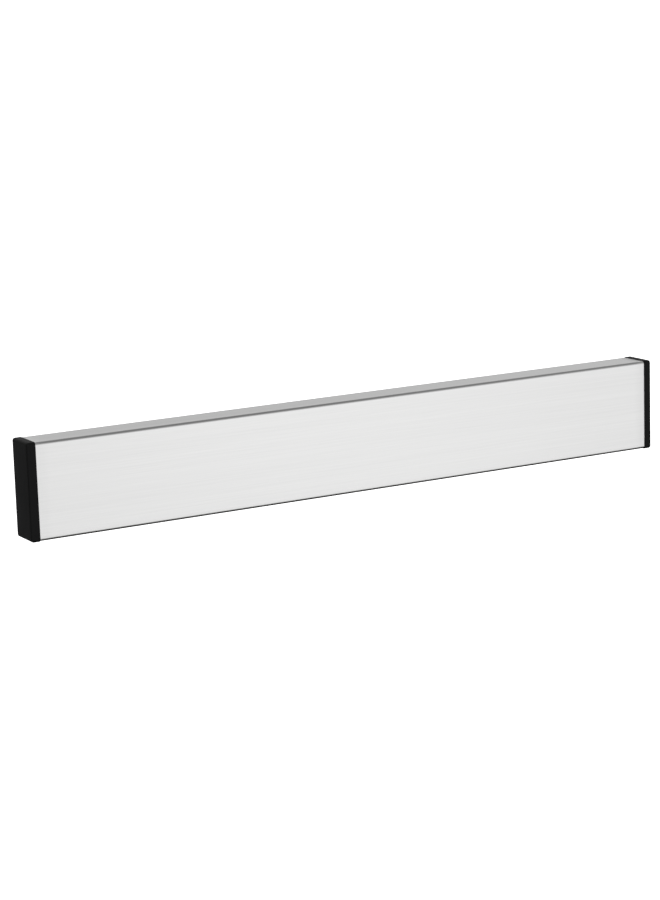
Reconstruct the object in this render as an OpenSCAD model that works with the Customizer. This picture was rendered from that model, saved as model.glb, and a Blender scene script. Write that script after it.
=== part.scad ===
// Wall-mounted magnetic knife rack: a folded steel cover with a plug-in cap at each end.
// Inside, a moulded tray holds two rows of magnets against the face, a steel yoke strip
// closes the magnets' backs, and a moulded back plate with two keyholes hangs on screws.
// X runs along the rack, the face looks along -Y and Z is up. The origin lies on the wall
// plane, midway between the two keyholes.

/* [Rack] */
// Overall length over both end caps
rack_l = 400; // [260:5:600]
// Height of the steel cover
rack_h = 52.5; // [42:0.5:75]
// Depth from the wall to the steel face
rack_d = 20; // [17.5:0.5:28]

/* [Steel cover] */
// Thickness of the folded sheet
sheet_t = 0.8; // [0.5:0.1:1.2]
// Outside radius of each bend in the sheet
bend_r = 1.4; // [1.3:0.1:2.5]
// Width of each lip that is folded in at the back
lip_w = 5; // [3:0.5:9]

/* [End caps] */
// Length of a cap's visible flange
flange_l = 5; // [3.5:0.1:9]
// How far a flange stands proud of the sheet above, below and in front
flange_proud = 0.3; // [0:0.1:1]
// Radius of the rounded edges of a flange
flange_r = 1.5; // [0.5:0.1:2.5]
// Length of the plug that pushes into the cover
plug_l = 12; // [8:0.5:20]
// Gap between the plug and the sheet around it
plug_gap = 0.15; // [0.1:0.01:0.3]
// Wall thickness of the cap moulding
cap_wall = 2; // [1.2:0.1:2.5]
// Thickness of the stiffening ribs inside a plug
cap_rib_t = 1.5; // [0.8:0.1:2.5]
// Distance of the stiffening ribs from the mouth of a plug
rib_recess = 1; // [0.2:0.1:4]
// Number of stiffening ribs inside a plug
cap_ribs = 2; // [1:1:4]
// Width of a grip ridge along the outside of a plug
ridge_w = 0.8; // [0.4:0.1:1.5]
// Gap left between a grip ridge and the sheet
ridge_gap = 0.05; // [0.02:0.01:0.08]
// Distance of the grip ridges from a plug's middle, as a share of its half width
ridge_place = 0.6; // [0.3:0.05:0.8]

/* [Magnets] */
// Length of one magnet
magnet_l = 40; // [20:1:60]
// Height of one magnet
magnet_h = 20; // [10:0.5:24]
// Thickness of one magnet
magnet_t = 10; // [5:0.5:11.5]
// Gap around a magnet in its window
magnet_gap = 0.2; // [0.05:0.05:0.4]
// Least width of tray left beside a magnet
web_min = 3; // [2.6:0.1:3.4]

/* [Yoke and tray] */
// Thickness of the steel yoke strip behind the magnets
yoke_t = 1.5; // [1:0.1:2]
// Gap around the yoke strip in its seat
yoke_gap = 0.2; // [0.05:0.05:0.4]
// Width of the tray's rim around the yoke strip
rim_w = 2; // [1:0.1:2.2]

/* [Back plate] */
// Thickness of the plate behind the lips
plate_t = 2.1; // [1.5:0.1:2.5]
// Gap between the plate and the lips, along the depth
lip_gap = 0.1; // [0.05:0.01:0.3]
// Gap between the plate's raised panel and the edges of the lips
panel_gap = 0.2; // [0.1:0.05:0.5]
// Thickness of the plate's ribs
rib_t = 1.5; // [0.8:0.1:2.5]
// Spacing aimed at between the plate's cross ribs
rib_pitch = 40; // [20:5:80]
// Distance from the plate's edge to each long rib
rib_inset = 9; // [6:0.5:10]

/* [Keyholes] */
// Distance from each end of the plate to its keyhole
keyhole_inset = 22.5; // [18:0.5:60]
// Radius of the round entry that a screw head passes
head_r = 4.5; // [3.5:0.1:5]
// Width of the slot that the screw shank rises in
shank_w = 4.4; // [3:0.1:5.5]
// Rise from the middle of the entry to the top of the shank's travel
keyhole_rise = 7; // [5.5:0.5:8]
// Room kept free of ribs around a screw head
head_room = 3; // [1:0.5:4]

/* [Core fit] */
// Gap between the sheet and the pieces inside it, above and below
core_gap = 0.2; // [0.1:0.05:0.5]
// Gap between the magnets and the back of the steel face
face_gap = 0.1; // [0.05:0.01:0.3]
// Gap between the pieces inside and each cap's plug
end_gap = 0.5; // [0.3:0.1:2]

/* [Hidden] */
$fn = 48;
cut = 0.5;                                    // how far a cutter overshoots
cover_l = rack_l - 2 * flange_l;
core_l = cover_l - 2 * (plug_l + end_gap);    // length of the tray and the back plate
inner_h = rack_h - 2 * sheet_t;               // clear height inside the sheet
core_h = inner_h - 2 * core_gap;
core_r = bend_r - sheet_t + core_gap;         // corner that clears the inside of a bend

// Depths, measured forwards from the wall
plate_front = sheet_t + lip_gap + plate_t;
tray_front = rack_d - sheet_t - face_gap;
magnet_back = tray_front - magnet_t;
yoke_back = magnet_back - yoke_t;

panel_h = rack_h - 2 * (lip_w + panel_gap);
yoke_l = core_l - 2 * (rim_w + yoke_gap);
yoke_h = core_h - 2 * (rim_w + yoke_gap);

// As many whole magnets as fit, spread evenly
columns = floor((core_l - web_min) / (magnet_l + web_min));
rows = floor((core_h - web_min) / (magnet_h + web_min));
column_pitch = magnet_l + (core_l - columns * magnet_l) / (columns + 1);
row_pitch = magnet_h + (core_h - rows * magnet_h) / (rows + 1);

keyhole_x = core_l / 2 - keyhole_inset;
bays = max(2, round(2 * keyhole_x / rib_pitch));    // spaces between the cross ribs
long_rib_z = core_h / 2 - rib_inset;

flange_d = rack_d + flange_proud;
flange_h = rack_h + 2 * flange_proud;
plug_h = inner_h - 2 * plug_gap;
plug_back = sheet_t + plug_gap;
plug_front = rack_d - sheet_t - plug_gap;
cell_h = plug_h - 2 * cap_wall;                     // clear height inside a plug

function magnet_name(row, column) = str("magnet_row", row, "_", column);

// A rectangle with round corners, centred
module round_rect(width, height, radius) {
    square([width - 2 * radius, height], center = true);
    square([width, height - 2 * radius], center = true);
    for (x = [-1, 1], y = [-1, 1])
        translate([x * (width / 2 - radius), y * (height / 2 - radius)])
            circle(radius);
}

// The same in the rack's cross-section, between two depths from the wall
module section(back, front, height, radius) {
    translate([-(back + front) / 2, 0])
        round_rect(front - back, height, radius);
}

// Carries a cross-section along the rack, centred on x = 0
module along_rack(length) {
    rotate([90, 0, 90])
        linear_extrude(length, center = true)
            children();
}

// A square-edged block centred in x and z, between two depths from the wall
module block(length, back, front, height) {
    translate([-length / 2, -front, -height / 2])
        cube([length, front - back, height]);
}

// Puts a copy at each place of a magnet
module at_magnet(row, column) {
    translate([(column - (columns + 1) / 2) * column_pitch, 0, ((rows + 1) / 2 - row) * row_pitch])
        children();
}

// Folded sheet: face, top, bottom and two lips turned in at the wall
module front_cover() {
    color("silver")
        along_rack(cover_l)
            difference() {
                section(0, rack_d, rack_h, bend_r);
                section(sheet_t, rack_d - sheet_t, inner_h, bend_r - sheet_t);
                square([2 * sheet_t + cut, rack_h - 2 * lip_w], center = true);
            }
}

// Tray with a window for each magnet and a seat for the yoke strip
module magnet_tray() {
    color("dimgray")
        difference() {
            along_rack(core_l)
                section(yoke_back, tray_front, core_h, core_r);
            for (row = [1 : rows], column = [1 : columns])
                at_magnet(row, column)
                    block(magnet_l + 2 * magnet_gap, yoke_back - cut, tray_front + cut,
                          magnet_h + 2 * magnet_gap);
            block(core_l - 2 * rim_w, yoke_back - cut, magnet_back, core_h - 2 * rim_w);
        }
}

module magnet(row, column) {
    color("darkslategray")
        at_magnet(row, column)
            block(magnet_l, magnet_back, tray_front, magnet_h);
}

// Steel strip that closes the magnetic path behind the magnets
module yoke_strip() {
    color("lightslategray")
        block(yoke_l, yoke_back, magnet_back, yoke_h);
}

// Ribs that reach forwards from the plate to the yoke strip
module plate_ribs() {
    rib_span = 2 * long_rib_z + rib_t;
    for (side = [-1, 1])
        translate([0, 0, side * long_rib_z])
            block(core_l, plate_front - cut, yoke_back, rib_t);
    for (bay = [1 : bays - 1])
        translate([-keyhole_x + bay * 2 * keyhole_x / bays, 0, 0])
            block(rib_t, plate_front - cut, yoke_back, rib_span);
}

// Room in front of the plate for a screw head along its rise
module head_space() {
    width = 2 * (head_r + head_room);
    translate([-width / 2, -yoke_back - cut, -width / 2])
        cube([width, yoke_back + cut - plate_front, width + keyhole_rise]);
}

// Keyhole through the plate: the round entry, and the slot that rises from it
module keyhole() {
    depth = plate_front + 2 * cut;
    translate([0, cut, 0])
        rotate([90, 0, 0]) {
            cylinder(h = depth, r = head_r);
            translate([0, keyhole_rise, 0])
                cylinder(h = depth, d = shank_w);
            translate([-shank_w / 2, 0, 0])
                cube([shank_w, keyhole_rise, depth]);
        }
}

// Plate behind the lips, with a panel that stands level with them against the wall
module back_plate() {
    color("#202224")
        difference() {
            union() {
                along_rack(core_l)
                    section(sheet_t + lip_gap, plate_front, core_h, core_r);
                block(core_l, 0, plate_front - cut, panel_h);
                plate_ribs();
            }
            for (side = [-1, 1])
                translate([side * keyhole_x, 0, 0]) {
                    head_space();
                    keyhole();
                }
        }
}

// Cap flange from x = 0 to its outer end, with its outer edges rounded
module flange() {
    intersection() {
        translate([flange_l / 2, 0, 0])
            along_rack(flange_l)
                section(0, flange_d, flange_h, flange_r);
        rotate([90, 0, 0])
            linear_extrude(3 * flange_d, center = true)
                round_rect(2 * flange_l, flange_h, flange_r);
        linear_extrude(2 * flange_h, center = true)
            translate([0, -flange_d / 2])
                round_rect(2 * flange_l, flange_d, flange_r);
    }
}

// Ridges that take up the plug's clearance above, below and in front
module grip_ridges() {
    stand = plug_gap - ridge_gap;
    mid = (plug_back + plug_front) / 2;
    reach = ridge_place * (plug_front - plug_back) / 2;
    for (side = [-1, 1]) {
        translate([-plug_l, -mid + side * reach - ridge_w / 2, -plug_h / 2 - stand])
            cube([plug_l, ridge_w, plug_h + 2 * stand]);
        translate([-plug_l, -plug_front - stand, side * ridge_place * plug_h / 2 - ridge_w / 2])
            cube([plug_l, cap_wall, ridge_w]);
    }
}

// Right-hand cap: flange, hollow plug with ribs and a pad level with the wall
module end_cap() {
    color("#1c1d1f")
        translate([cover_l / 2, 0, 0]) {
            difference() {
                union() {
                    flange();
                    translate([-plug_l / 2 + cut / 2, 0, 0])
                        along_rack(plug_l + cut)
                            section(plug_back, plug_front, plug_h, core_r);
                    translate([-plug_l / 2 + cut / 2, 0, 0])
                        block(plug_l + cut, 0, plug_back + cut, panel_h);
                    grip_ridges();
                }
                hollow_l = plug_l + flange_l - cap_wall;
                translate([hollow_l / 2 - plug_l - cut / 2, 0, 0])
                    block(hollow_l + cut, plug_back + cap_wall, plug_front - cap_wall, cell_h);
            }
            rib_l = plug_l - rib_recess + flange_l - cap_wall / 2;
            for (rib = [1 : cap_ribs])
                translate([rib_recess - plug_l + rib_l / 2, 0, (rib / (cap_ribs + 1) - 1 / 2) * cell_h])
                    block(rib_l, plug_back + cap_wall / 2, plug_front - cap_wall / 2, cap_rib_t);
        }
}

module right_end_cap() {
    end_cap();
}

module left_end_cap() {
    mirror([1, 0, 0])
        end_cap();
}

front_cover();
left_end_cap();
right_end_cap();
magnet_tray();
yoke_strip();
back_plate();
for (row = [1 : rows], column = [1 : columns])
    magnet(row, column);
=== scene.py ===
# Magnetic knife rack: the looks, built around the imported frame.
# Lengths in the dictionaries are millimetres, and so are the points of every surface until makePiece
# puts them into the frame's metres: X along the rack, -Y out of the steel face, +Z up, wall at y = 0.
import math
import bmesh
import bpy
import numpy as np
from mathutils import Matrix, Vector


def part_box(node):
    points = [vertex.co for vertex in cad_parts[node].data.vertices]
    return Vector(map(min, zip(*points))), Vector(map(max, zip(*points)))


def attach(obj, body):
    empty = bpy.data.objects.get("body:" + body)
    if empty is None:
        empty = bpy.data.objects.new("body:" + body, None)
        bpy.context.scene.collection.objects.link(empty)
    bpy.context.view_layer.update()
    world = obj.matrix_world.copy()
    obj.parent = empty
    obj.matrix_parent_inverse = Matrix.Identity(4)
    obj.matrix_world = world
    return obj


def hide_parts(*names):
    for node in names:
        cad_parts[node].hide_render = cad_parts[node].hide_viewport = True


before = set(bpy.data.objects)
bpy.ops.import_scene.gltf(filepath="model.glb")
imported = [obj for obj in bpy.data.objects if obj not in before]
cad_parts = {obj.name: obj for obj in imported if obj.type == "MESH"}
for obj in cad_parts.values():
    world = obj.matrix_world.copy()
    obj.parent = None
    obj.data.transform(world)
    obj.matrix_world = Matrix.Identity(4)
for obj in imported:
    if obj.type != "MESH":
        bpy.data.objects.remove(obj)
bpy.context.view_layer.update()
mm = 0.001
mergeGap = 0.0005    # points of a mesh that are this close, in millimetres, are one


# Lowest and highest corner of a frame node, in millimetres.
def spanOf(node):
    low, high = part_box(node)
    return np.array(low) / mm, np.array(high) / mm


# Wraps one output socket. + - * on it add Math nodes, and node() adds any other node: its settings
# first, then the values or links of its sockets.
class Shade:
    def __init__(self, tree, socket=None):
        self.tree, self.socket = tree, socket

    def node(self, kind, settings=None, inputs=None, out=0):
        made = self.tree.nodes.new(kind)
        for key, value in (settings or {}).items():
            setattr(made, key, value)
        for key, value in (inputs or {}).items():
            if isinstance(value, Shade):
                self.tree.links.new(value.socket, made.inputs[key])
            else:
                made.inputs[key].default_value = value
        return Shade(self.tree, made.outputs[out])

    def split(self, vector):
        made = self.node("ShaderNodeSeparateXYZ", {}, {"Vector": vector}).socket.node
        return [Shade(self.tree, made.outputs[axis]) for axis in "XYZ"]

    def reckon(self, operation, first, second=0):
        return self.node("ShaderNodeMath", {"operation": operation}, {0: first, 1: second})

    def __add__(self, other):
        return self.reckon("ADD", self, other)

    def __radd__(self, other):
        return self.reckon("ADD", other, self)

    def __sub__(self, other):
        return self.reckon("SUBTRACT", self, other)

    def __rsub__(self, other):
        return self.reckon("SUBTRACT", other, self)

    def __mul__(self, other):
        return self.reckon("MULTIPLY", self, other)

    def __rmul__(self, other):
        return self.reckon("MULTIPLY", other, self)


# An empty node material; gives the material, a start for expressions and its shader node.
def newMaterial(name):
    material = bpy.data.materials.new(name)
    material.use_nodes = True
    return material, Shade(material.node_tree), material.node_tree.nodes["Principled BSDF"]


# Sets or links the shader's own sockets.
def dress(start, shader, sockets):
    for key, value in sockets.items():
        if isinstance(value, Shade):
            start.tree.links.new(value.socket, shader.inputs[key])
        else:
            shader.inputs[key].default_value = value


# Noise whose grains measure size = (x, y, z) millimetres, read from the given coordinates.
def grain(start, place, size, detail=2.0, rough=0.5):
    scale = [1 / (s * mm) for s in size]
    stretched = start.node("ShaderNodeMapping", {}, {"Vector": place, "Scale": scale})
    return start.node("ShaderNodeTexNoise", {"noise_dimensions": "3D"},
                      {"Vector": stretched, "Scale": 1.0, "Detail": detail, "Roughness": rough})


# Ramp of a mask between two edges, easing at both.
def fade(start, value, first, last, low=0.0, high=1.0):
    return start.node("ShaderNodeMapRange", {"interpolation_type": "SMOOTHSTEP"},
                      {"Value": value, "From Min": first, "From Max": last, "To Min": low, "To Max": high})


# Blend of two colours by a mask.
def mixColour(start, mask, first, second, blend="MIX"):
    first = first if isinstance(first, Shade) else (*first, 1)
    second = second if isinstance(second, Shade) else (*second, 1)
    return start.node("ShaderNodeMix", {"data_type": "RGBA", "blend_type": blend},
                      {0: mask, 6: first, 7: second}, out=2)


# Height of a fine relief, as a bent normal; depth is the relief's full height.
def relief(start, height, depth, strength):
    return start.node("ShaderNodeBump", {}, {"Strength": strength, "Distance": depth * mm, "Height": height})


# Points along a chain of straight runs: each part is (points, steps to the next part), the runs
# between parts divided evenly. Any number of columns.
def chain(*parts):
    keys = np.concatenate([np.array(points, float) for points, steps in parts])
    gaps = np.concatenate([[1] * (len(points) - 1) + [steps] for points, steps in parts])[:-1]
    places = np.concatenate([[0], np.cumsum(gaps)])
    fine = np.arange(places[-1] + 1)
    return np.stack([np.interp(fine, places, column) for column in keys.T], -1)


# Points on an arc: centre + radius * (cos, sin) from one angle to another, in degrees.
def arc(centre, radius, first, last, steps):
    turn = np.radians(np.linspace(first, last, steps + 1))
    return np.stack([centre[0] + radius * np.cos(turn), centre[1] + radius * np.sin(turn)], -1)


# Outward normals of a closed loop of (y, z) points: the chord between the neighbours, turned a quarter
# to the outer side, which the sign of the loop's area gives.
def loopNormals(loop):
    after, before = np.roll(loop, -1, 0), np.roll(loop, 1, 0)
    chord = after - before
    side = np.sign(np.sum(loop[:, 0] * after[:, 1] - after[:, 0] * loop[:, 1]))
    normal = side * np.stack([chord[:, 1], -chord[:, 0]], -1)
    return normal / np.linalg.norm(normal, axis=1, keepdims=True)


# A rounded rectangle as weights, one row per point, so that any ring of it is a sum:
# y = back, front, radius and rise each times its weight (columns 0-3), and
# z = low, high, radius and panel each times its weight (columns 4-7).
# Quarter circles stand at the corners, and the back side has a panel of half height panel that
# stands rise proud of it.
def loopWeights(steps, side):
    turn = np.radians(np.linspace(0, 90, steps + 1))
    up, down = np.sin(turn), np.cos(turn)
    no, yes = np.zeros(steps + 1), np.ones(steps + 1)
    backTop = np.stack([yes, no, down - 1, no, no, yes, up - 1, no], -1)
    frontTop = np.stack([no, yes, 1 - up, no, no, yes, down - 1, no], -1)
    frontFoot = np.stack([no, yes, 1 - down, no, yes, no, 1 - up, no], -1)
    backFoot = np.stack([yes, no, up - 1, no, yes, no, 1 - down, no], -1)

    def panelPoint(raised, height):
        return [[1, 0, 0, raised, 0.5, 0.5, 0, height]]

    around = chain((panelPoint(1, 0), side), (panelPoint(1, 1), 1), (panelPoint(0, 1), 1),
                   (backTop, side), (frontTop, 2 * side), (frontFoot, side), (backFoot, 1),
                   (panelPoint(0, -1), 1), (panelPoint(1, -1), side), (panelPoint(1, 0), 0))
    return around[:-1]


# Rings of rounded rectangles from a table with a row for each: x, back, front, low, high, radius,
# rise and panel. Points by rings come out as one product of the table and the weights. A panel takes
# at most panelShare of its ring's half height, so that the corners keep their room.
def ringsOf(table, steps=6, side=6, panelShare=0.85):
    x, back, front, low, high, radius, rise, panel = np.array(table, float).T
    panel = np.minimum(panel, panelShare * (high - low) / 2)
    weights = loopWeights(steps, side)
    y = np.stack([back, front, radius, rise], -1) @ weights[:, :4].T
    z = np.stack([low, high, radius, panel], -1) @ weights[:, 4:].T
    return np.stack([np.broadcast_to(x[:, None], y.shape), y, z], -1)


# Skin through closed rings (rings x points x 3), with a lid on the first and the last.
def tubeSkin(rings, lids=True):
    rows, columns = rings.shape[:2]
    ids = np.arange(rows * columns).reshape(rows, columns)
    after = np.roll(ids, -1, 1)
    faces = np.stack([ids[:-1], ids[1:], after[1:], after[:-1]], -1).reshape(-1, 4).tolist()
    if lids:
        faces += [ids[0].tolist(), ids[-1].tolist()]
    return rings.reshape(-1, 3), faces


# A block with every edge rounded: rings whose inset is radius * (1 - sin a) while they move in by
# radius * (1 - cos a), for a from 0 to 90 degrees at both ends.
def roundedBlock(low, high, radius, steps=3, side=3):
    turn = np.radians(np.linspace(0, 90, steps + 1))
    inset, reach = radius * (1 - np.sin(turn)), radius * (1 - np.cos(turn))
    x = np.concatenate([low[0] + reach, (high[0] - reach)[::-1]])
    inset = np.concatenate([inset, inset[::-1]])
    table = np.stack([x, high[1] - inset, low[1] + inset, low[2] + inset, high[2] - inset,
                      radius - inset, 0 * x, 0 * x + high[2] - low[2]], -1)
    return tubeSkin(ringsOf(table, steps, side))


# Outer skin of the filled cells of a block grid: the cell between the planes xs[i], xs[i + 1] and so
# on is solid where filled[i, j, k], and a square lies wherever a filled cell meets an empty one.
def cellSkin(xs, ys, zs, filled, warp=None):
    points = np.stack(np.meshgrid(xs, ys, zs, indexing="ij"), -1).astype(float)
    ids = np.arange(points[..., 0].size).reshape(points.shape[:3])
    if warp is not None:
        points = warp(points)
    padded = np.pad(filled, 1).astype(int)
    quads = []
    for axis in range(3):
        skin = np.moveaxis(np.diff(padded, axis=axis), axis, 0)[:, 1:-1, 1:-1]
        plane, row, column = np.nonzero(skin)
        corner = np.moveaxis(ids, axis, 0)
        quads.append(np.stack([corner[plane, row, column], corner[plane, row + 1, column],
                               corner[plane, row + 1, column + 1], corner[plane, row, column + 1]], -1))
    used, quads = np.unique(np.concatenate(quads), return_inverse=True)
    return points.reshape(-1, 3)[used], quads.reshape(-1, 4).tolist()


# Middles of the cells between a row of planes.
def middles(planes):
    return (planes[1:] + planes[:-1]) / 2


# Puts skins, each (points, faces), into one mesh: coinciding points are merged and faces turn outwards.
def meshOf(name, skins, flat=None):
    points, faces, count = [], [], 0
    for corners, skinFaces in skins:
        points.append(corners)
        faces += [[count + corner for corner in face] for face in skinFaces]
        count += len(corners)
    mesh = bpy.data.meshes.new(name)
    mesh.from_pydata(np.concatenate(points) * mm, [], faces)
    if flat is not None:
        pattern = mesh.uv_layers.new(name="flatPattern")
        pattern.data.foreach_set("uv", (flat * mm)[np.concatenate(faces)].ravel())
    shell = bmesh.new()
    shell.from_mesh(mesh)
    bmesh.ops.remove_doubles(shell, verts=shell.verts, dist=mergeGap * mm)
    bmesh.ops.recalc_face_normals(shell, faces=shell.faces)
    shell.to_mesh(mesh)
    shell.free()
    return mesh


# Makes one piece of its skins. Parts that grow into the first skin are given as blocks and fused with it.
def makePiece(name, skins, material, flat=None, blocks=(), crease=32):
    piece = bpy.data.objects.new(name, meshOf(name, skins, flat))
    bpy.context.scene.collection.objects.link(piece)
    if blocks:
        helper = bpy.data.objects.new(name + "Blocks", meshOf(name + "Blocks", blocks))
        bpy.context.scene.collection.objects.link(helper)
        union = piece.modifiers.new("union", "BOOLEAN")
        union.operation, union.solver, union.object = "UNION", "MANIFOLD", helper
        whole = bpy.data.meshes.new_from_object(piece.evaluated_get(bpy.context.evaluated_depsgraph_get()))
        piece.modifiers.clear()
        piece.data = whole
        bpy.data.objects.remove(helper)
    piece.data.shade_smooth()
    piece.data.set_sharp_from_angle(angle=math.radians(crease))
    piece.data.materials.clear()
    piece.data.materials.append(material)
    return piece


# Softens the edges of a piece that turn by more than corner degrees.
def easeEdges(piece, width, segments=2, corner=40):
    bevel = piece.modifiers.new("easedEdges", "BEVEL")
    bevel.width, bevel.segments = width * mm, segments
    bevel.limit_method, bevel.angle_limit = "ANGLE", math.radians(corner)
    bevel.harden_normals = True
    return piece


# Puts a finished piece on its body, in place of its frame node.
def settle(piece, body, node):
    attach(piece, body)
    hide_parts(node)


steelLook = {
    "bright": (0.875, 0.875, 0.872), "dull": (0.67, 0.67, 0.668),
    "roughness": 0.30, "sheenChange": 0.12,      # middle roughness, and how far the grain moves it
    "hairWidth": 0.16, "hairLength": 30.0,       # the finest brushed lines
    "streakWidth": 0.9, "streakLength": 110.0,   # bundles of lines that show from afar
    "bandWidth": 7.0, "bandLength": 260.0,       # slow change of tone
    "hairDepth": 0.004,                          # relief of the brushed lines
    "hairShare": 0.4, "streakShare": 0.35, "bandShare": 0.25,
    "bendShadeTone": 0.62,                            # painted shade on a bend: a darker base colour standing in for the dark room the bend reflects
    "bendFade": (0.35, 0.6),                     # where that painted shade ends, as shares of the bend's width
}


# Stainless sheet: grain lines run along the rack, laid out by the sheet's own flat pattern, whose u is the
# way across the lines. bends are the middles of the front bends on it, bendWidth their width; the base colour
# is darkened there as painted shade.
def brushedSteel(name, look, bends, bendWidth):
    material, start, shader = newMaterial(name)
    flat = start.node("ShaderNodeUVMap", {"uv_map": "flatPattern"})
    hair = grain(start, flat, (look["hairWidth"], look["hairLength"], 1))
    streak = grain(start, flat, (look["streakWidth"], look["streakLength"], 1))
    band = grain(start, flat, (look["bandWidth"], look["bandLength"], 1), detail=1.0)
    mask = hair * look["hairShare"] + streak * look["streakShare"] + band * look["bandShare"]
    across = start.split(flat)[0]
    fadeFrom, fadeTo = (bendWidth * share * mm for share in look["bendFade"])
    # painted shade: a mask that is 1 on the middle of each front bend and fades out across it
    paintedBendShade = 0
    for bend in bends:
        away = start.reckon("ABSOLUTE", across - bend * mm)
        paintedBendShade = fade(start, away, fadeFrom, fadeTo, 1.0, 0.0) + paintedBendShade
    ground = mixColour(start, mask, look["dull"], look["bright"])
    dress(start, shader, {
        # the ground colour is multiplied by the painted bend shade
        "Base Color": mixColour(start, paintedBendShade, ground, (look["bendShadeTone"],) * 3, "MULTIPLY"),
        "Metallic": 1.0, "Normal": relief(start, hair, look["hairDepth"], 1.0),
        "Roughness": look["roughness"] + (mask - 0.5) * look["sheenChange"]})
    return material


capLook = {"dark": (0.0028, 0.0028, 0.003), "light": (0.0062, 0.0062, 0.0065), "roughness": 0.52,
           "gloss": 0.10, "texture": 0.28, "depth": 0.02, "cloud": 9.0}
plateLook = {"dark": (0.013, 0.013, 0.0135), "light": (0.021, 0.021, 0.0215), "roughness": 0.55,
             "gloss": 0.3, "texture": 0.5, "depth": 0.03, "cloud": 25.0}
trayLook = {"dark": (0.05, 0.05, 0.053), "light": (0.075, 0.075, 0.08), "roughness": 0.5,
            "gloss": 0.35, "texture": 0.7, "depth": 0.02, "cloud": 20.0}
plasticSheen = {"cloud": 0.14, "fine": 0.1}      # how far each texture moves the roughness


# Moulded plastic: an even spark-eroded texture, with slow changes of sheen.
def mouldedPlastic(name, look):
    material, start, shader = newMaterial(name)
    place = start.node("ShaderNodeTexCoord", out="Object")
    fine = grain(start, place, (look["texture"],) * 3, detail=3.0, rough=0.6)
    cloud = grain(start, place, (look["cloud"],) * 3)
    mask = (fine + cloud) * 0.5
    dress(start, shader, {
        "Base Color": mixColour(start, mask, look["dark"], look["light"]),
        "Normal": relief(start, fine, look["depth"], strength=0.5),
        "Roughness": (look["roughness"] + (cloud - 0.5) * plasticSheen["cloud"]
                      + (fine - 0.5) * plasticSheen["fine"]),
        "Specular IOR Level": look["gloss"]})
    return material


ferriteLook = {
    "dark": (0.035, 0.036, 0.04), "light": (0.085, 0.086, 0.09),
    "roughness": 0.42, "sheenChange": 0.2,
    "speckle": (0.35, 0.35, 0.35), "marks": (14.0, 0.2, 0.25),    # sizes of the grains along x, y, z
    "speckleShare": 0.6, "marksShare": 0.4, "depth": 0.02,
}


# Ground ferrite: fine speckle with straight grinding marks.
def groundFerrite(name, look):
    material, start, shader = newMaterial(name)
    place = start.node("ShaderNodeTexCoord", out="Object")
    speckle = grain(start, place, look["speckle"], detail=4.0, rough=0.7)
    marks = grain(start, place, look["marks"])
    mask = speckle * look["speckleShare"] + marks * look["marksShare"]
    dress(start, shader, {
        "Base Color": mixColour(start, mask, look["dark"], look["light"]),
        "Normal": relief(start, mask, look["depth"], strength=0.4),
        "Roughness": look["roughness"] + (marks - 0.5) * look["sheenChange"]})
    return material


zincLook = {
    "dark": (0.33, 0.34, 0.36), "light": (0.52, 0.53, 0.55),
    "roughness": 0.38, "sheenChange": 0.2,
    "patches": (6.0, 6.0, 6.0), "lines": (60.0, 0.5, 0.5),        # sizes of the grains along x, y, z
    "patchShare": 0.6, "lineShare": 0.4, "depth": 0.01,
}


# Zinc-plated strip: pale patches over faint rolling lines.
def zincPlate(name, look):
    material, start, shader = newMaterial(name)
    place = start.node("ShaderNodeTexCoord", out="Object")
    patches = grain(start, place, look["patches"], detail=3.0, rough=0.6)
    lines = grain(start, place, look["lines"])
    mask = patches * look["patchShare"] + lines * look["lineShare"]
    dress(start, shader, {
        "Base Color": mixColour(start, mask, look["dark"], look["light"]),
        "Metallic": 1.0, "Normal": relief(start, lines, look["depth"], strength=0.2),
        "Roughness": look["roughness"] + (patches - 0.5) * look["sheenChange"]})
    return material


coverShape = {
    "sheet": 0.8, "bend": 1.4, "lip": 5.0,       # thickness, outer bend radius, width of the lips
    "deburr": 0.12, "deburrSteps": 3,            # rounding of the cut edges
    "faceSteps": 30, "sideSteps": 9, "lipSteps": 4, "bendSteps": 10, "lengthSteps": 60,
}


# One side of the folded sheet as (y, z) points from lip to lip: straight runs joined by quarter arcs
# about shared centres, their radius less by how far this side lies inside the outer one.
def foldedChain(shape, depth, height, inside):
    bend, radius, steps = shape["bend"], shape["bend"] - inside, shape["bendSteps"]
    up, lipEnd = height / 2 - bend, height / 2 - shape["lip"] + shape["deburr"]
    back, front = -bend, bend - depth
    return chain(([[-inside, -lipEnd]], shape["lipSteps"]),
                 (arc((back, -up), radius, 0, -90, steps), shape["sideSteps"]),
                 (arc((front, -up), radius, -90, -180, steps), shape["faceSteps"]),
                 (arc((front, up), radius, 180, 90, steps), shape["sideSteps"]),
                 (arc((back, up), radius, 90, 0, steps), shape["lipSteps"]),
                 ([[-inside, lipEnd]], 0))


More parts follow.
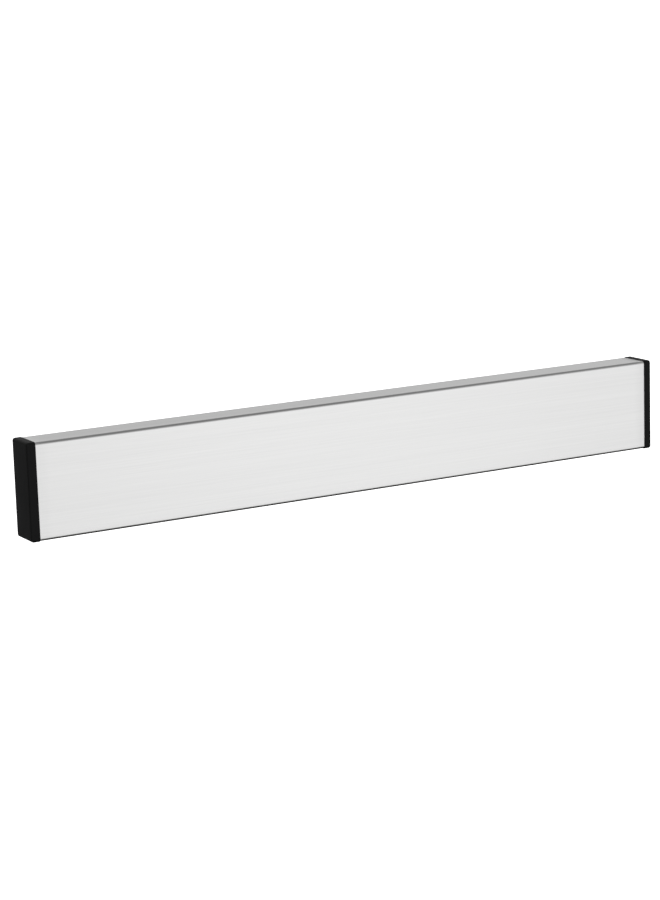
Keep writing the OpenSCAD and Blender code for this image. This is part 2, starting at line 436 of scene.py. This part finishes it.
# The folded sheet: a closed loop (outer side, lip end, inner side, lip end) carried along x. At each
# end the loop draws in along its normals by ease * (1 - sin a), and a strip joins its two sides.
def makeCover(shape):
    low, high = spanOf("front_cover")
    length, depth, height = high - low
    sheet, ease, steps = shape["sheet"], shape["deburr"], shape["deburrSteps"]
    outer = foldedChain(shape, depth, height, 0)
    inner = foldedChain(shape, depth, height, sheet)
    lipEnd = height / 2 - shape["lip"] + ease
    nearWall = arc((-ease, lipEnd), ease, 0, -90, steps)[1:]
    nearRoom = arc((ease - sheet, lipEnd), ease, -90, -180, steps)[:-1]
    turnedOver = np.array([1, -1])
    outerHalf = np.concatenate([nearWall[::-1] * turnedOver, outer, nearWall])
    innerHalf = np.concatenate([nearRoom, inner[::-1], nearRoom[::-1] * turnedOver])
    loop = np.concatenate([outerHalf, innerHalf])

    along = np.concatenate([[0], np.cumsum(np.linalg.norm(np.diff(outer, axis=0), axis=1))])
    along = np.pad(along - along[-1] / 2, len(nearWall), mode="edge")
    flatLoop = np.concatenate([along, along[::-1]])

    turn = np.radians(np.linspace(0, 90, steps + 1))
    reach, inset = ease * (1 - np.cos(turn)), ease * (1 - np.sin(turn))
    middle = np.linspace(ease, length - ease, shape["lengthSteps"])[1:-1]
    x = np.concatenate([reach, middle, (length - reach)[::-1]]) + low[0]
    inset = np.concatenate([inset, 0 * middle, inset[::-1]])
    section = loop - loopNormals(loop) * inset[:, None, None]
    places = np.broadcast_to(x[:, None, None], (len(x), len(loop), 1))
    points, faces = tubeSkin(np.concatenate([places, section], -1), lids=False)
    flat = np.stack(np.broadcast_arrays(flatLoop, x[:, None]), -1).reshape(-1, 2)
    count = len(outerHalf)
    for first in (0, len(points) - 2 * count):
        one = first + np.arange(count)
        other = first + 2 * count - 1 - np.arange(count)
        faces += np.stack([one[:-1], one[1:], other[1:], other[:-1]], -1).tolist()

    bendMiddle = height / 2 - shape["bend"] + shape["bend"] * math.pi / 4
    steel = brushedSteel("brushedSteel", steelLook, (-bendMiddle, bendMiddle), shape["bend"] * math.pi / 2)
    settle(makePiece("steelCover", [(points, faces)], steel, flat), "rack", "front_cover")


makeCover(coverShape)
print("cover folded")


capShape = {
    "edge": 1.5, "edgeSteps": 8,                 # rounding of the flange
    "crown": 0.12, "crownFlat": 0.3, "crownSteps": 5,    # dome of its end face, and its flat middle's share
    "seamEdge": 0.2, "seamSteps": 3,             # rounding of the flange beside the steel
    "plug": 12.0, "gap": 0.15, "corner": 0.8,    # plug: length, clearance to the sheet, corner radius
    "lead": 1.0, "leadInset": 0.3, "leadRound": 0.1, "mouthEdge": 0.2,
    "wall": 2.0, "padGap": 0.2,                  # wall, and room between the wall pad and the lips
    "fillet": 0.3, "filletShoulder": 0.09,       # rounding where the hollow's floor meets its walls
    "hollowCorners": (0.5, 0.3, 0.3, 0.2, 0.1),  # corner radii from the mouth to the floor
    "ribWidth": 1.5, "ribInset": 1.0, "ribEdge": 0.25, "ribs": 2,
    "ridgeWidth": 0.8, "ridgeRise": 0.1, "ridgeEdge": 0.08, "ridgePlace": 0.6,
    "bite": 0.5,                                 # how deep a ridge is rooted in the plug
}


# One end cap as a single skin: end face, rounded edge, flange, plug, mouth, and the hollow's wall and
# floor are rings of the same rounded rectangle. The edge's rings draw in by edge * (1 - sin a).
def makeCap(name, node, body, side, shape, material):
    low, high = spanOf(node)
    end, mouth = max(-low[0], high[0]), min(abs(low[0]), abs(high[0]))
    face = mouth + shape["plug"]
    edge, seam, crown, wall = shape["edge"], shape["seamEdge"], shape["crown"], shape["wall"]
    coverLow, coverHigh = spanOf("front_cover")
    sheet = coverShape["sheet"]
    pad = coverHigh[2] - coverShape["lip"] - shape["padGap"]
    plugBack, plugFront = -sheet - shape["gap"], coverLow[1] + sheet + shape["gap"]
    plugHalf = coverHigh[2] - sheet - shape["gap"]

    def flangeRow(x, inset, corner, backInset):
        return [x, high[1] - backInset, low[1] + inset, low[2] + inset, high[2] - inset,
                corner, 0.0, pad]

    def plugRow(x, inset):
        return [x, plugBack - inset, plugFront + inset, inset - plugHalf, plugHalf - inset,
                shape["corner"], -plugBack, pad]

    def hollowRow(x, inset, corner):
        half = plugHalf - wall - inset
        return [x, plugBack - wall - inset, plugFront + wall + inset, -half, half, corner, 0.0, pad]

    table = []
    reach = (high[1] - low[1]) / 2
    for share in np.linspace(shape["crownFlat"], 1, shape["crownSteps"] + 1)[:-1]:
        inset = edge + (reach - edge) * (1 - share)
        table.append(flangeRow(end - crown * share ** 2, inset, 0.0, inset))
    for turn in np.radians(np.linspace(0, 90, shape["edgeSteps"] + 1)):
        inset = edge * (1 - math.sin(turn))
        table.append(flangeRow(end - crown - edge * (1 - math.cos(turn)), inset, edge - inset, inset))
    for turn in np.radians(np.linspace(0, 90, shape["seamSteps"] + 1)):
        inset = seam * (1 - math.cos(turn))
        table.append(flangeRow(face + seam * (1 - math.sin(turn)), inset, edge - inset, 0.0))
    table += [plugRow(face, 0), plugRow(mouth + shape["lead"], 0),
              plugRow(mouth + seam, shape["leadInset"] - shape["leadRound"]),
              plugRow(mouth, shape["leadInset"])]
    floor, rim = end - wall, shape["mouthEdge"]
    fillet, shoulder = shape["fillet"], shape["filletShoulder"]
    hollowX = (mouth, mouth + rim, floor - fillet, floor - shoulder, floor)
    hollowInsets = (-rim, 0, 0, shoulder, fillet)
    table += [hollowRow(*row) for row in zip(hollowX, hollowInsets, shape["hollowCorners"])]
    skin = tubeSkin(ringsOf(table, steps=8))

    blocks = []
    clear = 2 * (plugHalf - wall)
    for rib in range(shape["ribs"]):
        z = ((rib + 1) / (shape["ribs"] + 1) - 0.5) * clear
        half = shape["ribWidth"] / 2
        blocks.append(roundedBlock((mouth + shape["ribInset"], plugFront + wall / 2, z - half),
                                   (floor + wall / 2, plugBack - wall / 2, z + half), shape["ribEdge"]))
    half, rise, bite = shape["ridgeWidth"] / 2, shape["ridgeRise"], shape["bite"]
    first, last = mouth + shape["lead"], face + bite
    middle = (plugBack + plugFront) / 2
    apart = shape["ridgePlace"] * (plugBack - plugFront) / 2
    for sign in (-1, 1):
        y, z = middle + sign * apart, sign * shape["ridgePlace"] * plugHalf
        for way in (-1, 1):
            inner, outer = way * (plugHalf - bite), way * (plugHalf + rise)
            blocks.append(roundedBlock((first, y - half, min(inner, outer)),
                                       (last, y + half, max(inner, outer)), shape["ridgeEdge"]))
        blocks.append(roundedBlock((first, plugFront - rise, z - half), (last, plugFront + bite, z + half),
                                   shape["ridgeEdge"]))
    mirror = np.array([side, 1, 1])
    skins = [(points * mirror, faces) for points, faces in [skin] + blocks]
    settle(makePiece(name, skins[:1], material, blocks=skins[1:]), body, node)


capPlastic = mouldedPlastic("capPlastic", capLook)
makeCap("rightCap", "right_end_cap", "right_cap", 1, capShape, capPlastic)
makeCap("leftCap", "left_end_cap", "left_cap", -1, capShape, capPlastic)
print("caps moulded")


plateShape = {
    "panelBack": 0.9, "plateFront": 3.0,         # depths of the plate's back and front from the wall
    "ribWidth": 1.5, "longRib": 16.25, "bays": 8,
    "keyhole": 160.0, "entry": 4.5, "slotWidth": 4.4, "slotRise": 7.0,
    "slotSteps": 3, "footSteps": 5,              # points across the slot's top and the entry's foot
    "sideAngles": (38, 136, 9.7),                # first, end and step of the rim's other angles from up
    "screwRoom": 3.0,                            # kept free of ribs around a screw head
    "edge": 0.3,
}


# Distance from a keyhole's middle to its outline, by the angle from straight up: the slot's round
# top, the slot's straight side, then the entry's circle.
def keyholeReach(shape, angle):
    half, rise, entry = shape["slotWidth"] / 2, shape["slotRise"], shape["entry"]
    angle = np.abs(angle)
    topEnd, sideEnd = math.atan2(half, rise), math.asin(half / entry)
    top = rise * np.cos(angle) + np.sqrt(np.maximum(half ** 2 - (rise * np.sin(angle)) ** 2, 0))
    notZero = 1e-6
    straight = half / np.maximum(np.sin(angle), notZero)
    return np.where(angle < topEnd, top, np.where(angle < sideEnd, straight, entry))


# The back plate: filled cells of a block grid (plate, panel, long ribs, cross ribs), with the cells
# inside each keyhole left empty and the rim of that gap moved out radially onto the keyhole's outline.
def makePlate(shape, material):
    low, high = spanOf("back_plate")
    rib, long, entry = shape["ribWidth"] / 2, shape["longRib"], shape["entry"]
    half, rise = shape["slotWidth"] / 2, shape["slotRise"]
    top = rise + half
    coverHigh = spanOf("front_cover")[1]
    panel = coverHigh[2] - coverShape["lip"] - capShape["padGap"]
    crossRibs = np.linspace(-shape["keyhole"], shape["keyhole"], shape["bays"] + 1)[1:-1]

    slotAngles = np.linspace(0, math.atan2(half, rise), shape["slotSteps"] + 1)
    footAngles = np.radians(np.linspace(0, 45, shape["footSteps"] + 1))
    across = np.unique(np.round(np.concatenate([top * np.tan(slotAngles), entry * np.tan(footAngles)]), 4))
    sideAngles = np.concatenate([[math.asin(half / entry)], np.radians(np.arange(*shape["sideAngles"]))])
    upwards = np.unique(np.round(np.concatenate([entry / np.tan(sideAngles), [-entry, top]]), 4))
    gapX = np.concatenate([-across[:0:-1], across])
    room = shape["screwRoom"]
    holeX = np.concatenate([[-entry - room], gapX, [entry + room]])

    xs = np.unique(np.concatenate([[low[0], high[0]], crossRibs - rib, crossRibs + rib,
                                   holeX - shape["keyhole"], holeX + shape["keyhole"]]))
    ys = np.array([low[1], -shape["plateFront"], -shape["panelBack"], high[1]])
    zs = np.unique(np.concatenate([[low[2], high[2], -panel, panel, -long - rib, rib - long, long - rib,
                                    long + rib, -entry - room, top + room], upwards]))
    x, y, z = np.meshgrid(middles(xs), middles(ys), middles(zs), indexing="ij")
    plate = (y > -shape["plateFront"]) & (y < -shape["panelBack"])
    raised = (y > -shape["panelBack"]) & (np.abs(z) < panel)
    ribs = (y < -shape["plateFront"]) & (np.abs(np.abs(z) - long) < rib)
    nearest = np.min(np.abs(x[..., None] - crossRibs), axis=-1)
    ribs |= (y < -shape["plateFront"]) & (nearest < rib) & (np.abs(z) < long + rib)
    gap = (np.abs(np.abs(x) - shape["keyhole"]) < entry) & (z > -entry) & (z < top)

    def ontoKeyhole(points, near=1e-3):
        px, pz = np.abs(points[..., 0]) - shape["keyhole"], points[..., 2]
        rimX = np.isclose(np.abs(px), entry, atol=near) & (pz > -entry - near) & (pz < top + near)
        rimZ = np.isclose(pz, top, atol=near) | np.isclose(pz, -entry, atol=near)
        rim = rimX | (rimZ & (np.abs(px) < entry + near))
        angle = np.arctan2(px, pz)
        reach = keyholeReach(shape, angle)
        moved = points.copy()
        moved[..., 0] = np.where(rim, np.sign(points[..., 0]) * (shape["keyhole"] + reach * np.sin(angle)),
                                 points[..., 0])
        moved[..., 2] = np.where(rim, reach * np.cos(angle), points[..., 2])
        return moved

    skin = cellSkin(xs, ys, zs, (plate | raised | ribs) & ~gap, ontoKeyhole)
    piece = easeEdges(makePiece("backPlate", [skin], material), shape["edge"])
    settle(piece, "rack", "back_plate")


makePlate(plateShape, mouldedPlastic("platePlastic", plateLook))
print("back plate moulded")


trayShape = {"rim": 2.0, "magnetGap": 0.2, "edge": 0.3}


# The magnet tray: filled cells of a block grid, less a window for each magnet and the yoke's seat.
def makeTray(shape, magnets, material):
    low, high = spanOf("magnet_tray")
    seatFloor = spanOf("yoke_strip")[0][1]
    lows, highs = (np.array(side) for side in zip(*(spanOf(node) for node in magnets)))
    gap, rim = shape["magnetGap"], shape["rim"]
    left, right = lows[:, 0] - gap, highs[:, 0] + gap
    foot, head = lows[:, 2] - gap, highs[:, 2] + gap
    xs = np.unique(np.round(np.concatenate([[low[0], high[0], low[0] + rim, high[0] - rim], left, right]), 3))
    ys = np.array([low[1], seatFloor, high[1]])
    zs = np.unique(np.round(np.concatenate([[low[2], high[2], low[2] + rim, high[2] - rim], foot, head]), 3))
    x, y, z = np.meshgrid(middles(xs), middles(ys), middles(zs), indexing="ij")
    seat = (y > seatFloor) & (x > low[0] + rim) & (x < high[0] - rim) & (np.abs(z) < high[2] - rim)
    across, upward = x[..., None], z[..., None]
    window = ((across > left) & (across < right) & (upward > foot) & (upward < head)).any(-1)
    piece = makePiece("magnetTray", [cellSkin(xs, ys, zs, ~(seat | window))], material)
    settle(easeEdges(piece, shape["edge"]), "rack", "magnet_tray")


magnetNodes = sorted(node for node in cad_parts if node.startswith("magnet_row"))
makeTray(trayShape, magnetNodes, mouldedPlastic("trayPlastic", trayLook))
print("tray moulded")


magnetShape = {"edge": 0.45}
yokeShape = {"edge": 0.2}
ferrite = groundFerrite("groundFerrite", ferriteLook)
for node in magnetNodes:
    block = roundedBlock(*spanOf(node), magnetShape["edge"])
    name = "ground" + node[0].upper() + node[1:]
    settle(makePiece(name, [block], ferrite), "rack", node)
yoke = makePiece("yokePlated", [roundedBlock(*spanOf("yoke_strip"), yokeShape["edge"])],
                 zincPlate("zincPlate", zincLook))
settle(yoke, "rack", "yoke_strip")
print(len(magnetNodes), "magnets and the yoke placed")


studioShape = {
    "floor": -1600.0, "radius": 8000.0, "sweep": 1500.0, "hub": 0.2,
    "tone": 0.92, "roughness": 0.9, "glow": 1.0,
    "floorSteps": 12, "bowSteps": 10, "domeSteps": 24, "turnStep": 5,
}


# The studio: a pale floor that sweeps up at its rim into a pale dome, a profile turned about z.
# It only shows behind the rack; what lights the rack and shows in the steel is the world.
def makeStudio(shape):
    radius, sweep, floor = shape["radius"], shape["sweep"], shape["floor"]
    bow = arc((radius - sweep, floor + sweep), sweep, -90, 0, shape["bowSteps"])
    dome = arc((0, floor + sweep), radius, 0, 90, shape["domeSteps"])[:-1]
    profile = chain(([[shape["hub"], floor]], shape["floorSteps"]), (bow, 1), (dome, 1),
                    ([[shape["hub"], floor + sweep + radius]], 0))
    turn = np.radians(np.arange(0, 360, shape["turnStep"]))
    around = np.stack([profile[:, :1] * np.cos(turn), profile[:, :1] * np.sin(turn),
                       np.broadcast_to(profile[:, 1:], (len(profile), len(turn)))], -1)
    material, start, shader = newMaterial("paleStudio")
    dress(start, shader, {"Base Color": (shape["tone"],) * 3 + (1,), "Roughness": shape["roughness"],
                          "Emission Color": (1, 1, 1, 1), "Emission Strength": shape["glow"]})
    studio = makePiece("studioFloor", [tubeSkin(around)], material)
    studio.visible_diffuse = studio.visible_glossy = studio.visible_shadow = False


makeStudio(studioShape)


# Radiance of the room by direction: ahead of the face, behind the wall, behind it at the left,
# overhead and underfoot. The pale band between the last two slopes by tilt, lower in front.
roomLight = {
    "front": 1.0, "back": 0.66, "left": 0.27, "overhead": 0.3, "underfoot": 0.0, "tilt": 0.35,
    "frontToBack": (-0.5, 0.5), "leftwards": (-0.05, -0.6),    # where each change begins and ends
    "upwards": (0.45, 0.85), "downwards": (-0.08, -0.34),
    "cards": (0.0, 0.25), "cardShare": 0.4,    # the dark cards stand to the right, this weak elsewhere
}


# Soft studio light: the radiance goes from front to back with y, the back is darker to the left, and
# both fade to the overhead or underfoot tone by the steepness z - tilt * y, fully only at the right.
def makeRoom(look):
    world = bpy.data.worlds.new("studioRoom")
    world.use_nodes = True
    bpy.context.scene.world = world
    start = Shade(world.node_tree)
    direction = start.node("ShaderNodeTexCoord", out="Generated")
    x, y, z = start.split(direction)
    behind = fade(start, x, *look["leftwards"], look["back"], look["left"])
    level = look["front"] + fade(start, y, *look["frontToBack"]) * (behind - look["front"])
    steep = z - y * look["tilt"]
    cards = fade(start, x, *look["cards"], look["cardShare"], 1.0)
    level = level + fade(start, steep, *look["upwards"]) * cards * (look["overhead"] - level)
    level = level + fade(start, steep, *look["downwards"]) * cards * (look["underfoot"] - level)
    background = world.node_tree.nodes["Background"]
    start.tree.links.new(level.socket, background.inputs["Color"])
    background.inputs["Strength"].default_value = 1.0


makeRoom(roomLight)


# Place is where the lamp stands, aim what it looks at, both millimetres; size in metres, power in watts.
lamps = {
    "facePanel": {"place": (920, -1700, -330), "aim": (0, 0, 0), "size": 0.6, "power": 0.22},
    "keyPanel": {"place": (-900, -1500, 1300), "aim": (0, 0, 0), "size": 1.2, "power": 4.0},
}


# A square lamp that stands at its place and is turned to look at its aim.
def addLamp(name, lamp):
    data = bpy.data.lights.new(name, "AREA")
    data.shape, data.size, data.energy = "SQUARE", lamp["size"], lamp["power"]
    lampObject = bpy.data.objects.new(name, data)
    place, aim = Vector(lamp["place"]) * mm, Vector(lamp["aim"]) * mm
    lampObject.location = place
    lampObject.rotation_mode = "QUATERNION"
    lampObject.rotation_quaternion = (aim - place).to_track_quat("-Z", "Y")
    bpy.context.scene.collection.objects.link(lampObject)


for lampName, lamp in lamps.items():
    addLamp(lampName, lamp)
print("studio lit")


# Camera: turned about z and tilted down towards the aim point, which is in millimetres.
cameraView = {"lens": 101.02, "turn": 29.51, "tilt": 11.42, "roll": -1.80, "distance": 1421.4,
              "aim": (-7.22, 2.89, -5.14), "sensor": 36}


# Looking direction (sin turn cos tilt, cos turn cos tilt, -sin tilt); the camera stands back from
# its aim along it.
def placeCamera(look):
    turn, tilt, roll = (math.radians(look[key]) for key in ("turn", "tilt", "roll"))
    ahead = Vector((math.sin(turn) * math.cos(tilt), math.cos(turn) * math.cos(tilt), -math.sin(tilt)))
    level = Vector((math.cos(turn), -math.sin(turn), 0))
    down = ahead.cross(level)
    right = math.cos(roll) * level - math.sin(roll) * down
    down = math.sin(roll) * level + math.cos(roll) * down
    data = bpy.data.cameras.new("rackCamera")
    data.lens, data.sensor_width = look["lens"], look["sensor"]
    camera = bpy.data.objects.new("rackCamera", data)
    axes = Matrix((right, -down, -ahead)).transposed().to_4x4()
    camera.matrix_world = Matrix.Translation((Vector(look["aim"]) - ahead * look["distance"]) * mm) @ axes
    bpy.context.scene.collection.objects.link(camera)
    bpy.context.scene.camera = camera


placeCamera(cameraView)
bpy.context.scene.view_settings.view_transform = "Standard"
print("camera placed")

bpy.context.view_layer.update()
